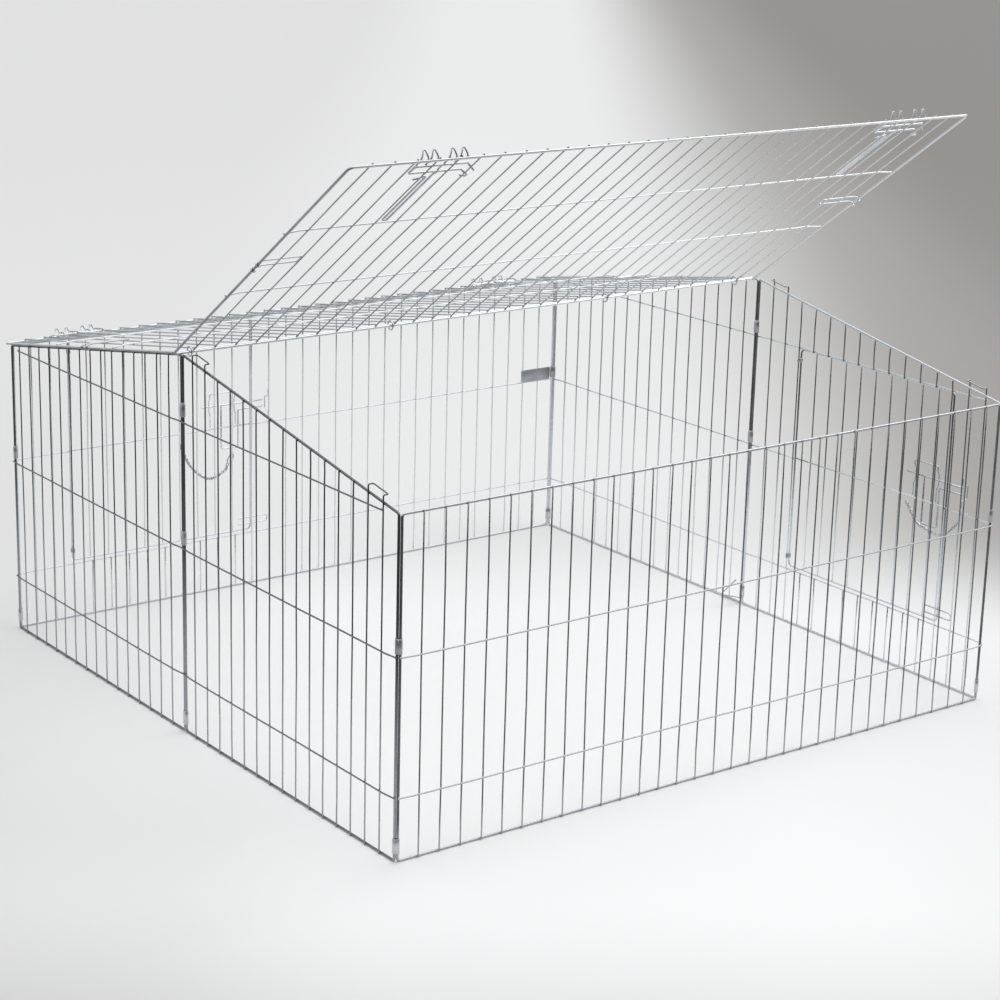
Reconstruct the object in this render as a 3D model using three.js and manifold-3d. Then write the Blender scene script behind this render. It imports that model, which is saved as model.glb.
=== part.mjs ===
// Outdoor rabbit run: six welded wire walls round a square yard, and a pair of wire roof panels that meet at a ridge.
// Units are millimetres, +Z is up. The origin is the middle of the front wall's bottom rail, on the ground;
// +X runs to the right along the front wall and +Y to the back wall.
import * as THREE from "three";
import { mergeVertices } from "three/addons/utils/BufferGeometryUtils.js";
import Module from "manifold-3d";

const wasm = await Module();
wasm.setup();

// ---------------------------------------------------------------- driving dimensions
const runWidth = 1150; // between the centre planes of the left and right walls
const runDepth = 1150; // between the centre planes of the front and back walls
const eaveHeight = 498; // centre of the front and back walls' top rails
const ridgeHeight = 598; // where the side walls' sloped rails meet at the middle posts
const lidAngle = 36; // degrees that the front roof panel stands above level

const frameWire = 4; // perimeter wire of every panel
const barWire = 2.2; // upright bars of the mesh
const crossWireSize = 2.5; // level wires of the mesh
const doorWire = 3; // perimeter wire of the doors
const boltWire = 3; // sliding bolts and their handles
const fittingWire = 2.2; // bails, staples, clips and the guides of the bolts

const frameBend = 6; // corner radius of the panels' perimeter wire
const frameBendSteps = 3;
const frontGaps = 32; // gaps between bars along the front, the back and the roof
const sideGaps = 16; // gaps between bars along each half of a side
const lowCross = 95; // heights of the level wires
const midCross = 298;
const eaveCross = 496;
const crossLead = 24; // length over which a level wire comes in from the bars to its post
const barOverrun = 2.4; // how far a bar passes the centre of the rail it is welded to
const weld = 0.2; // how deep two welded wires press into each other
const clearance = 0.3; // between pieces that touch

const sleeveSheet = 0.8; // sheet thickness of the hinge sleeves
const sleeveHeight = 22;
const sleeveLow = 13; // bottom edges of the hinge sleeves
const sleeveMid = 303;
const sleeveTop = 503;

const ridgeSpread = 8; // between the centres of the two ridge rails
const ridgeLift = 1; // room under the ridge rails for the bent corners of the posts
const frontRoofShift = -17; // how far each roof panel lies to the right of the walls' middle
const rearRoofShift = -10;
const ringWire = 2.2; // rings that tie the two ridge rails
const ringGaps = [0, 10, 22, 30]; // the bar gaps that hold a ring
const ringPlace = 13; // from the bar on its left
const roofCrossShare = [1 / 3, 2 / 3]; // level wires of the roof, as parts of the slope

const wallLoopRise = 12; // loops of bar wire that stand over the front side walls' sloped rails
const wallLoopReach = 8;

const latchPlaces = [152, 1021]; // middles of the two latches along a roof panel's eave rail
const lugPlaces = [-32, -16, 14, 32]; // the four lugs of a latch, from its middle
const lugNose = 22; // how far a lug's nose stands out past the eave rail
const lugDrop = 1; // how far the nose bends down below the roof's plane
const lugHalfWidth = 6;
const rodLevels = [27, 45]; // the two rods of a roof bolt, from the eave rail
const rodRight = 50; // right end of the rods, from the latch's middle
const rodLeft = 30; // left end of the upper rod
const roofHandle = 188; // the handle's rounded end, from the eave rail
const roofHandlePlace = [4, 12]; // its two legs

const bailPlace = 290; // middle of a bail, from the eave rail
const bailWidth = 16;
const bailGaps = 2; // a bail reaches over this many gaps

const doorFirstBar = 3; // the side door lies between these bars of its wall
const doorGaps = 10;
const backDoorFirstBar = 19;
const doorBottom = 101; // centre lines of the door's perimeter wire
const doorTop = 493;
const doorBend = 8;
const doorGap = 0.5; // between the wall's outermost wires and the door
const doorClipHeight = 8; // hinge clips of the doors
const doorClipLevels = [116, 470];

const boltLevels = [338, 326]; // prongs of a door bolt, above ground
const boltTip = -28.8; // ends of the prongs, from the door's latch side
const boltTail = 97; // back end of the upper prong
const boltLegs = [22, 57]; // the two legs of the hanging handle
const boltHandleBottom = 257;
const guideLegs = [28, 80]; // the two arches of the bolt's guide
const guideTop = 361;
const guideBottom = 300;
const guideRoom = 8; // how far an arch runs past the prong, up and down
const staplePlace = -1; // the wall staple stands on this bar, from the door's first bar
const stapleFoot = 12;
const lugWidth = 12; // stop lug at the foot of the door
const lugLevel = 118;
const lugFrom = 28;
const lugTo = -33;

const chainWire = 3;
const clipLength = 20; // snap clip on the chain
const clipWidth = 9;

const plateWidth = 60; // blank label plate on the back wall
const plateHeight = 29;
const plateLevel = 311;
const platePlace = 45.5;
const plateSheet = 0.9;
const plateBend = 3;

const groundClip = [[12, 43], [52, 3], [-10, 14]]; // bent wire clip at the foot of the right middle posts

// ---------------------------------------------------------------- values worked out from them
const frameR = frameWire / 2;
const barR = barWire / 2;
const crossR = crossWireSize / 2;
const doorR = doorWire / 2;
const boltR = boltWire / 2;
const fittingR = fittingWire / 2;
const flat = Math.cos(Math.PI / 6); // a six-sided wire's flats lie at this share of its radius
const halfWidth = runWidth / 2;
const halfDepth = runDepth / 2;
const frontPitch = runWidth / frontGaps;
const sidePitch = halfDepth / sideGaps;
const railLevel = frameR * flat; // the bottom rails lie on the ground on their flats
const cornerSetback = (frameWire + clearance) / Math.SQRT2;
const middleSetback = (frameWire + clearance) / 2;
const barOut = frameR + barR - weld; // layers of a panel, outwards from its perimeter wire
const crossOut = barOut + barR + clearance + crossR;
const crossWelded = barOut + barR + crossR - weld;
const meshOut = crossOut + crossR;
const barFoot = Math.max(railLevel - barOverrun, weld); // the walls' bars stay clear of the ground
const onBarsOut = (radius) => barOut + barR + clearance + radius;
const doorOut = meshOut + doorGap + doorR;
const doorBarOut = doorOut + doorR + barR - weld;
const boltOut = doorBarOut + barR + clearance + boltR;
const archOut = boltOut + boltR + 3 * clearance + fittingR;
const wallRise = (ridgeHeight - eaveHeight) / halfDepth;

// The ridge rails lie in the hollow between the bent top corners of the front and rear side walls.
const ridgeTurn = Math.PI / 2 + Math.atan(wallRise);
const bendCentre = ridgeHeight - frameBend * Math.tan(ridgeTurn / 2);
const ridgeSeatRadius = frameBend + frameWire + clearance + ridgeLift;
const ridgeSeatPlace = frameBend - (ridgeSpread / 2 - middleSetback);
const ridgeRail = bendCentre + Math.sqrt(ridgeSeatRadius ** 2 - ridgeSeatPlace ** 2);
const eaveRail = eaveHeight + frameWire + clearance;
const roofRun = halfDepth - ridgeSpread / 2;
const roofSlope = Math.atan2(ridgeRail - eaveRail, roofRun);
const roofLength = Math.hypot(ridgeRail - eaveRail, roofRun);

// ---------------------------------------------------------------- materials
const metal = (color, roughness, metalness) => new THREE.MeshStandardMaterial({ color, roughness, metalness });
const zincFrame = metal(0x8d9195, 0.42, 0.9);
const zincMesh = metal(0x9ba0a5, 0.45, 0.9);
const zincFitting = metal(0xb4b9be, 0.35, 0.95);
const sheetSteel = metal(0xc3c6c8, 0.4, 0.9);
const blankPlate = metal(0xaeb4b8, 0.5, 0.8);

// ---------------------------------------------------------------- wires
const point = (x, y, z) => new THREE.Vector3(x, y, z);
const outward = point(0, -1, 0); // the outside of every panel, in the panel's own frame

// Replaces each corner of a path by an arc.
function bend(points, radius, steps, closed = false) {
  const path = [];
  points.forEach((corner, i) => {
    const before = points.at(i - 1);
    const after = points[(i + 1) % points.length];
    if (!closed && (i === 0 || i === points.length - 1)) {
      path.push(corner);
      return;
    }
    const toBefore = before.clone().sub(corner).normalize();
    const toAfter = after.clone().sub(corner).normalize();
    const halfAngle = toBefore.angleTo(toAfter) / 2;
    const reach = radius / Math.tan(halfAngle);
    const start = corner.clone().addScaledVector(toBefore, reach);
    const end = corner.clone().addScaledVector(toAfter, reach);
    const middle = toBefore.clone().add(toAfter).normalize();
    const centre = corner.clone().addScaledVector(middle, radius / Math.sin(halfAngle));
    const turn = Math.PI - 2 * halfAngle;
    const from = start.clone().sub(centre);
    const axis = from.clone().cross(end.clone().sub(centre)).normalize();
    for (let k = 0; k <= steps; k++) {
      path.push(from.clone().applyAxisAngle(axis, (turn * k) / steps).add(centre));
    }
  });
  return path;
}

// A wire along a path: a prism on each stretch, mitred at the corners. Its first edge faces "edge".
function wire(path, radius, { sides = 4, closed = false, edge = outward } = {}) {
  const count = path.length;
  const stretch = (i) => path[(i + 1) % count].clone().sub(path[i % count]).normalize();
  const first = stretch(0);
  const across = edge.clone().addScaledVector(first, -edge.dot(first)).normalize();
  let spokes = [];
  for (let k = 0; k < sides; k++) {
    spokes.push(across.clone().applyAxisAngle(first, (2 * Math.PI * k) / sides).multiplyScalar(radius));
  }
  const rings = [];
  for (let i = 0; i < count; i++) {
    const atEnd = !closed && (i === 0 || i === count - 1);
    if (atEnd) {
      rings.push(spokes.map((spoke) => spoke.clone().add(path[i])));
      continue;
    }
    const coming = stretch(i === 0 ? count - 1 : i - 1);
    const going = stretch(i);
    const mitre = coming.clone().add(going).normalize();
    if (i === 0) {
      const met = spokes.map((s) => s.clone().addScaledVector(going, -s.dot(mitre) / going.dot(mitre)));
      rings.push(met.map((s) => s.add(path[0])));
      continue;
    }
    const met = spokes.map((s) => s.clone().addScaledVector(coming, -s.dot(mitre) / coming.dot(mitre)));
    rings.push(met.map((s) => s.clone().add(path[i])));
    spokes = met.map((s) => s.clone().addScaledVector(going, -s.dot(going)));
  }
  const position = rings.flat().flatMap((p) => [p.x, p.y, p.z]);
  const index = [];
  const spans = closed ? count : count - 1;
  for (let i = 0; i < spans; i++) {
    for (let k = 0; k < sides; k++) {
      const a = i * sides + k;
      const b = i * sides + ((k + 1) % sides);
      const c = ((i + 1) % count) * sides + ((k + 1) % sides);
      const d = ((i + 1) % count) * sides + k;
      index.push(a, b, c, a, c, d);
    }
  }
  if (!closed) {
    const last = (count - 1) * sides;
    for (let k = 1; k < sides - 1; k++) {
      index.push(0, k + 1, k, last, last + k, last + k + 1);
    }
  }
  const geometry = new THREE.BufferGeometry();
  geometry.setAttribute("position", new THREE.Float32BufferAttribute(position, 3));
  geometry.setIndex(index);
  return geometry;
}

// ---------------------------------------------------------------- welding wires into one body
function solidOf(geometry) {
  const bare = geometry.clone();
  bare.deleteAttribute("normal");
  bare.deleteAttribute("uv");
  const merged = mergeVertices(bare, 1e-4);
  const vertProperties = new Float32Array(merged.attributes.position.array);
  const triVerts = new Uint32Array(merged.index.array);
  return new wasm.Manifold(new wasm.Mesh({ numProp: 3, vertProperties, triVerts }));
}

function welded(geometries) {
  const body = geometries.map(solidOf).reduce((sum, next) => sum.add(next));
  const mesh = body.getMesh();
  const geometry = new THREE.BufferGeometry();
  geometry.setAttribute("position", new THREE.BufferAttribute(mesh.vertProperties, 3));
  geometry.setIndex(new THREE.BufferAttribute(mesh.triVerts, 1));
  return geometry;
}

function part(name, geometry, material) {
  const mesh = new THREE.Mesh(geometry, material);
  mesh.name = name;
  return mesh;
}

// ---------------------------------------------------------------- wire panels
// Every panel is drawn as the front wall stands: x along it, z up it, and its outside towards -y.
const span = (from, to) => Array.from({ length: to - from + 1 }, (_, i) => from + i);

function perimeter(corners, radius, bendRadius) {
  const path = corners.map(([x, z]) => point(x, 0, z));
  return wire(bend(path, bendRadius, frameBendSteps, true), radius, { sides: 6, closed: true });
}

function upright(x, from, to, out = barOut) {
  return wire([point(x, -out, from), point(x, -out, to)], barR);
}

// A level wire on the outside of the bars. An end at a post comes in to the post; an end at a bar is welded to it.
function level(z, from, to) {
  const ends = [from, to].map((end) => (end.post ? 0 : crossWelded));
  const lead = [from.x + crossLead, to.x - crossLead];
  return wire(
    [point(from.x, -ends[0], z), point(lead[0], -crossOut, z), point(lead[1], -crossOut, z), point(to.x, -ends[1], z)],
    crossR,
  );
}

const atPost = (x) => ({ x, post: true });
const atBar = (x) => ({ x, post: false });

// Two neighbouring bars made of one wire that loops over the sloped rail between them.
function loopedPair(xA, xB, topAt) {
  const over = (x) => topAt(x) + wallLoopRise;
  return wire(
    [
      point(xA, -barOut, barFoot),
      point(xA, -barOut, over(xA)),
      point(xA, wallLoopReach - barOut, over(xA)),
      point(xB, wallLoopReach - barOut, over(xB)),
      point(xB, -barOut, over(xB)),
      point(xB, -barOut, barFoot),
    ],
    barR,
  );
}

// A wall panel: its perimeter wire, its bars, its level wires, and the gap that a door covers.
function wall({ left, right, gaps, pitch, topAt, levels, doorBars = null, loops = [] }) {
  const pieces = [
    perimeter([[left, railLevel], [right, railLevel], [right, topAt(right)], [left, topAt(left)]], frameR, frameBend),
  ];
  const looped = new Set(loops.flat());
  const inDoor = (k) => doorBars && k > doorBars[0] && k < doorBars[1];
  for (const k of span(1, gaps - 1)) {
    const x = k * pitch;
    const top = topAt(x) + barOverrun;
    if (looped.has(k)) continue;
    if (inDoor(k)) {
      pieces.push(upright(x, barFoot, lowCross + barOverrun));
      if (topAt(x) > eaveCross + 2 * barOverrun) pieces.push(upright(x, eaveCross - barOverrun, top));
    } else {
      pieces.push(upright(x, barFoot, top));
    }
  }
  for (const [a, b] of loops) pieces.push(loopedPair(a * pitch, b * pitch, topAt));
  for (const [z, from, to] of levels) {
    if (doorBars && z > doorBottom && z < doorTop) {
      pieces.push(level(z, from, atBar(doorBars[0] * pitch)), level(z, atBar(doorBars[1] * pitch), to));
    } else {
      pieces.push(level(z, from, to));
    }
  }
  return welded(pieces);
}

// The front and back walls.
function longWall(doorBars) {
  const left = cornerSetback;
  const right = runWidth - cornerSetback;
  const ends = [atPost(left), atPost(right)];
  const levels = [[lowCross, ...ends], [midCross, ...ends]];
  return wall({ left, right, gaps: frontGaps, pitch: frontPitch, topAt: () => eaveHeight, levels, doorBars });
}

// Half of a side wall; it rises to the ridge on its right or on its left.
function halfWall({ rising, doorBars, looped }) {
  const left = rising ? cornerSetback : middleSetback;
  const right = halfDepth - (rising ? middleSetback : cornerSetback);
  const fromEave = (x) => (rising ? x : halfDepth - x);
  const topAt = (x) => eaveHeight + wallRise * fromEave(x);
  const ends = [atPost(left), atPost(right)];
  const eaveEnds = rising ? [atBar(sidePitch), atPost(right)] : [atPost(left), atBar(halfDepth - sidePitch)];
  const levels = [[lowCross, ...ends], [midCross, ...ends], [eaveCross, ...eaveEnds]];
  const loops = looped ? [[1, 2], [sideGaps - 2, sideGaps - 1]] : [];
  return wall({ left, right, gaps: sideGaps, pitch: sidePitch, topAt, levels, doorBars, loops });
}

// ---------------------------------------------------------------- roof panels
// A roof panel is drawn like a wall: z = 0 is its eave rail and z = roofLength its ridge rail.
const rodOut = onBarsOut(boltR);
const overRods = rodOut + boltR + clearance + fittingR;

// A lug: a hairpin nose over the eave rail, whose long leg runs in over the rods of the bolt and holds them down.
function latchLug(x, rodLevel) {
  const onRail = frameR + fittingR - weld;
  return wire(
    [
      point(x - lugHalfWidth, -onRail, frameR),
      point(x, lugDrop, -lugNose),
      point(x + lugHalfWidth, -onRail, -frameR),
      point(x + lugHalfWidth, -onRail, frameR),
      point(x + lugHalfWidth / 2, -overRods, rodLevels[0] - 2 * boltWire),
      point(x + lugHalfWidth / 2, -overRods, rodLevel + boltWire),
    ],
    fittingR,
  );
}

function roofPanel() {
  const pieces = [
    perimeter([[0, 0], [runWidth, 0], [runWidth, roofLength], [0, roofLength]], frameR, frameBend),
  ];
  for (const k of span(1, frontGaps - 1)) {
    pieces.push(upright(k * frontPitch, -barOverrun, roofLength));
  }
  for (const share of roofCrossShare) {
    pieces.push(level(share * roofLength, atPost(0), atPost(runWidth)));
  }
  for (const place of latchPlaces) {
    lugPlaces.forEach((offset, i) => {
      const rodLevel = rodLevels[i % 2 === 0 ? 1 : 0];
      pieces.push(latchLug(place + offset, rodLevel));
    });
  }
  return welded(pieces);
}

// The bolt of a roof latch: two rods along the eave, bent into one long flat handle.
function roofBolt(x) {
  const [upperRod, lowerRod] = rodLevels;
  const [legA, legB] = roofHandlePlace;
  const path = [
    [rodRight, upperRod],
    [-rodLeft, upperRod],
    [-rodLeft - boltWire, lowerRod],
    [legA, lowerRod],
    [legA, roofHandle],
    [legB, roofHandle],
    [legB, lowerRod],
    [rodRight, lowerRod],
  ];
  const corners = path.map(([dx, z]) => point(x + dx, -rodOut, z));
  return wire(bend(corners, boltWire, 2), boltR);
}

// A bail: a wire bow that lies on the roof and swings on the edge wire, its two ends curled round that wire.
function bail(onLeft) {
  const inward = onLeft ? 1 : -1;
  const edge = onLeft ? 0 : runWidth;
  const curl = frameR + clearance + fittingR;
  const onBars = onBarsOut(fittingR);
  const curlAngles = [90, 135, 180, 225, 270, 320];
  const leg = (z) => [
    ...curlAngles.toReversed().map((degrees) => {
      const a = THREE.MathUtils.degToRad(degrees);
      return point(edge + inward * curl * Math.cos(a), -curl * Math.sin(a), z);
    }),
    point(edge + inward * 2 * curl, -onBars, z),
  ];
  const reach = edge + inward * (bailGaps * frontPitch + barWire);
  const low = bailPlace - bailWidth / 2;
  const high = bailPlace + bailWidth / 2;
  const path = [
    ...leg(low),
    point(reach, -onBars, low),
    point(reach, -onBars, high),
    ...leg(high).toReversed(),
  ];
  return wire(path, fittingR);
}

// ---------------------------------------------------------------- doors
// A door is drawn from its latch side, x = 0, to its hinge side, outside the bars of its wall.
function door(pitch) {
  const width = doorGaps * pitch;
  const corners = [[0, doorBottom], [width, doorBottom], [width, doorTop], [0, doorTop]];
  const frame = bend(corners.map(([x, z]) => point(x, -doorOut, z)), doorBend, 2, true);
  const pieces = [wire(frame, doorR, { sides: 6, closed: true })];
  for (const k of span(1, doorGaps - 1)) {
    pieces.push(upright(k * pitch, doorBottom - barOverrun, doorTop + barOverrun, doorBarOut));
  }
  pieces.push(wire([point(0, -doorOut, midCross), point(width, -doorOut, midCross)], crossR));
  return welded(pieces);
}

// The door's bolt: a prong with a tail, the hanging handle, and a second prong.
function doorBolt() {
  const [upper, lower] = boltLevels;
  const [near, far] = boltLegs;
  const prong = wire([point(boltTip, -boltOut, upper), point(boltTail, -boltOut, upper)], boltR);
  const corners = [
    [far, upper],
    [far, boltHandleBottom],
    [near, boltHandleBottom],
    [near, lower],
    [boltTip, lower],
  ].map(([x, z]) => point(x, -boltOut, z));
  return welded([prong, wire(bend(corners, boltWire, 2), boltR)]);
}

// The guide: one wire, bent into two arches that the upper prong slides through, on the outside of the door's bars.
function boltGuide() {
  const flatOut = doorBarOut + barR + clearance + fittingR;
  const upper = boltLevels[0];
  const arch =(x) => [
    point(x, -flatOut, guideTop),
    point(x, -flatOut, guideTop - guideRoom),
    point(x, -archOut, upper + guideRoom),
    point(x, -archOut, upper - guideRoom),
    point(x, -flatOut, upper - 2 * guideRoom),
    point(x, -flatOut, guideBottom),
  ];
  return wire([...arch(guideLegs[0]).toReversed(), ...arch(guideLegs[1])], fittingR);
}

// The staple on the wall that takes the ends of the prongs.
function wallStaple(pitch) {
  const [upper, lower] = boltLevels;
  const foot = onBarsOut(fittingR);
  const x = staplePlace * pitch;
  return wire(
    [
      point(x, -foot, upper + guideRoom + stapleFoot),
      point(x, -foot, upper + guideRoom),
      point(x, -archOut, upper + guideRoom - boltWire),
      point(x, -archOut, lower - guideRoom + boltWire),
      point(x, -foot, lower - guideRoom),
      point(x, -foot, lower - guideRoom - stapleFoot),
    ],
    fittingR,
  );
}

// The stop lug: a flat hairpin between the door and the wall that laps over the wall's bar.
function stopLug() {
  const out = onBarsOut(fittingR);
  const low = lugLevel - lugWidth / 2;
  const high = lugLevel + lugWidth / 2;
  const corners = [[lugFrom, low], [lugTo, low], [lugTo, high], [lugFrom, high]];
  return wire(bend(corners.map(([x, z]) => point(x, -out, z)), fittingWire, 2), fittingR);
}

// The safety chain, as the plain tube that its links fill, and the snap clip on its end.
function chain(route) {
  const curve = new THREE.CatmullRomCurve3(route.map(([x, z]) => point(x, -boltOut, z)));
  return wire(curve.getPoints(4 * (route.length - 1)), chainWire / 2, { sides: 6 });
}

function snapClip(route) {
  const [[fromX, fromZ], [x, z]] = route.slice(-2);
  const turn = Math.atan2(z - fromZ, x - fromX);
  const start = clipLength / 2 + clearance + fittingR;
  const ringPoints = span(0, 9).map((k) => {
    const a = (2 * Math.PI * k) / 10;
    const along = start + (clipLength / 2) * Math.cos(a);
    const across = (clipWidth / 2) * Math.sin(a);
    const dx = along * Math.cos(turn) - across * Math.sin(turn);
    const dz = along * Math.sin(turn) + across * Math.cos(turn);
    return point(x + dx, -boltOut, z + dz);
  });
  return wire(ringPoints, fittingR, { closed: true });
}

// ---------------------------------------------------------------- sheet fittings
// A sheet strap round two upright wires, closed into a flat loop. It stands on z = 0.
function strap(distance, rA, rB, height) {
  const outline = (extra) => {
    const lean = Math.asin((rB - rA) / distance);
    const a = rA + extra;
    const b = rB + extra;
    const shape = new THREE.Shape();
    shape.absarc(0, 0, a, Math.PI / 2 + lean, (3 * Math.PI) / 2 - lean, false);
    shape.absarc(distance, 0, b, (3 * Math.PI) / 2 - lean, (5 * Math.PI) / 2 + lean, false);
    return shape;
  };
  const around = outline(clearance + sleeveSheet);
  around.holes.push(outline(clearance));
  return new THREE.ExtrudeGeometry(around, { depth: height, bevelEnabled: false, curveSegments: 5 });
}

function strapBetween(name, from, to, rA, rB, z, height, material) {
  const distance = Math.hypot(to[0] - from[0], to[1] - from[1]);
  const mesh = part(name, strap(distance, rA, rB, height), material);
  mesh.position.set(from[0], from[1], z);
  mesh.rotation.z = Math.atan2(to[1] - from[1], to[0] - from[0]);
  return mesh;
}

// ---------------------------------------------------------------- the assembly
const run = new THREE.Group();

// Each wall has its own group, turned so that its outside faces out; x = 0 is its left end seen from outside.
function side(x, y, degrees) {
  const group = new THREE.Group();
  group.position.set(x, y, 0);
  group.rotation.z = THREE.MathUtils.degToRad(degrees);
  run.add(group);
  return group;
}
const front = side(-halfWidth, 0, 0);
const rightFront = side(halfWidth, 0, 90);
const rightRear = side(halfWidth, halfDepth, 90);
const back = side(halfWidth, runDepth, 180);
const leftRear = side(-halfWidth, runDepth, -90);
const leftFront = side(-halfWidth, halfDepth, -90);

const sideDoorBars = [doorFirstBar, doorFirstBar + doorGaps];
const backDoorBars = [backDoorFirstBar, backDoorFirstBar + doorGaps];
front.add(part("front_wall", longWall(null), zincFrame));
back.add(part("back_wall", longWall(backDoorBars), zincFrame));
rightFront.add(part("right_front_wall", halfWall({ rising: true, doorBars: sideDoorBars, looped: true }), zincFrame));
rightRear.add(part("right_rear_wall", halfWall({ rising: false }), zincFrame));
leftRear.add(part("left_rear_wall", halfWall({ rising: true }), zincFrame));
leftFront.add(part("left_front_wall", halfWall({ rising: false, looped: true }), zincFrame));

// Hinge sleeves: two on each corner post pair, three on each middle pair.
const leftX = -halfWidth;
const rightX = halfWidth;
const posts = {
  front_left: [[leftX, cornerSetback], [leftX + cornerSetback, 0]],
  front_right: [[rightX - cornerSetback, 0], [rightX, cornerSetback]],
  rear_right: [[rightX, runDepth - cornerSetback], [rightX - cornerSetback, runDepth]],
  rear_left: [[leftX + cornerSetback, runDepth], [leftX, runDepth - cornerSetback]],
  middle_left: [[leftX, halfDepth - middleSetback], [leftX, halfDepth + middleSetback]],
  middle_right: [[rightX, halfDepth - middleSetback], [rightX, halfDepth + middleSetback]],
};
for (const [place, [a, b]] of Object.entries(posts)) {
  const levels = { lower: sleeveLow, middle: sleeveMid };
  if (place.startsWith("middle")) levels.upper = sleeveTop;
  for (const [which, z] of Object.entries(levels)) {
    run.add(strapBetween(`${place}_sleeve_${which}`, a, b, frameR, frameR, z, sleeveHeight, sheetSteel));
  }
}

// Roof panels: each turns about its own ridge rail.
function roof(degrees, ridgeY, angle, shift) {
  const group = new THREE.Group();
  group.position.set(0, ridgeY, ridgeRail);
  group.rotation.z = THREE.MathUtils.degToRad(degrees);
  const tilted = new THREE.Group();
  tilted.rotation.x = angle - Math.PI / 2;
  const eaveFrame = new THREE.Group();
  eaveFrame.position.set(shift - halfWidth, 0, -roofLength);
  tilted.add(eaveFrame);
  group.add(tilted);
  run.add(group);
  return eaveFrame;
}
const lidLift = THREE.MathUtils.degToRad(lidAngle);
const frontRoof = roof(0, halfDepth - ridgeSpread / 2, -lidLift, frontRoofShift);
const rearRoof = roof(180, halfDepth + ridgeSpread / 2, roofSlope, -rearRoofShift);
for (const [name, group, leftName, rightName] of [
  ["front_roof", frontRoof, "left", "right"],
  ["rear_roof", rearRoof, "right", "left"],
]) {
  group.add(part(name, roofPanel(), zincFrame));
  group.add(part(`${name}_bolt_${leftName}`, roofBolt(latchPlaces[0]), zincFitting));
  group.add(part(`${name}_bolt_${rightName}`, roofBolt(latchPlaces[1]), zincFitting));
  group.add(part(`${name}_bail_${leftName}`, bail(true), zincFitting));
  group.add(part(`${name}_bail_${rightName}`, bail(false), zincFitting));
}

// Rings round the two ridge rails.
const ringR = ridgeSpread / 2 + frameR + clearance + ringWire / 2;
ringGaps.forEach((gap, i) => {
  const geometry = new THREE.TorusGeometry(ringR, ringWire / 2, 4, 12);
  const ring = part(`ridge_ring_${i + 1}`, geometry, zincFitting);
  ring.rotation.y = Math.PI / 2;
  ring.position.set(leftX + gap * frontPitch + ringPlace, halfDepth, ridgeRail);
  run.add(ring);
});

// Doors, with their clips, bolts, guides, staples, lugs and chains.
const sideChain = [[94, 286], [68, 256], [49, 250], [21, 246], [-2, 255], [-27, 281]];
const backChain = [[141, 278], [135, 262], [117, 230], [84, 206], [52, 215], [44, 227]];
for (const [name, wallGroup, pitch, firstBar, route] of [
  ["side_door", rightFront, sidePitch, doorFirstBar, sideChain],
  ["back_door", back, frontPitch, backDoorFirstBar, backChain],
]) {
  const group = new THREE.Group();
  group.position.x = firstBar * pitch;
  wallGroup.add(group);
  group.add(part(name, door(pitch), zincMesh));
  doorClipLevels.forEach((z, i) => {
    const hingeX = doorGaps * pitch;
    const which = i === 0 ? "lower" : "upper";
    const clip = strapBetween(
      `${name}_hinge_${which}`, [hingeX, -barOut], [hingeX, -doorOut], barR, doorR, z, doorClipHeight, sheetSteel,
    );
    group.add(clip);
  });
  group.add(part(`${name}_bolt`, doorBolt(), zincFitting));
  group.add(part(`${name}_guide`, boltGuide(), zincFitting));
  group.add(part(`${name}_staple`, wallStaple(pitch), zincFitting));
  group.add(part(`${name}_stop`, stopLug(), zincFitting));
  group.add(part(`${name}_chain`, chain(route), zincFitting));
  group.add(part(`${name}_clip`, snapClip(route), zincFitting));
}

// The blank label plate on the back wall, held between the bars' inner faces and the perimeter wire's plane.
const plateShape = new THREE.Shape();
plateShape.moveTo(plateBend, 0);
plateShape.lineTo(plateWidth - plateBend, 0);
plateShape.absarc(plateWidth - plateBend, plateBend, plateBend, -Math.PI / 2, 0, false);
plateShape.absarc(plateWidth - plateBend, plateHeight - plateBend, plateBend, 0, Math.PI / 2, false);
plateShape.absarc(plateBend, plateHeight - plateBend, plateBend, Math.PI / 2, Math.PI, false);
plateShape.absarc(plateBend, plateBend, plateBend, Math.PI, (3 * Math.PI) / 2, false);
const plateGeometry = new THREE.ExtrudeGeometry(plateShape, { depth: plateSheet, bevelEnabled: false, curveSegments: 3 });
const plate = part("label_plate", plateGeometry, blankPlate);
plate.rotation.x = Math.PI / 2;
plate.position.set(platePlace - plateWidth / 2, -(barOut - barR - clearance - plateSheet), plateLevel - plateHeight / 2);
back.add(plate);

// The bent wire clip lies against the inside of the lowest sleeve of the right middle posts.
const clipIn = frameR + clearance + sleeveSheet + clearance + fittingR;
const clipPath = groundClip.map(([x, z]) => point(x, clipIn, z));
rightRear.add(part("ground_clip", wire(bend(clipPath, fittingWire, 2), fittingR), zincFitting));

export default run;
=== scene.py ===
# %% [markdown]
# # An outdoor rabbit run of welded wire
# The run is six flat wire panels that stand round a square yard, and two wire roof panels that meet at a
# ridge. Everything in it is round wire or thin bent sheet, so this lesson is about one skill: sweeping a
# round section along a path, and doing it a few hundred times in good order.
# The measured solids come first. Each new piece takes the place of one of them and moves with its body.

# %% Load the measured frame
import math
import random

import bpy
from mathutils import Matrix, Vector


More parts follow.
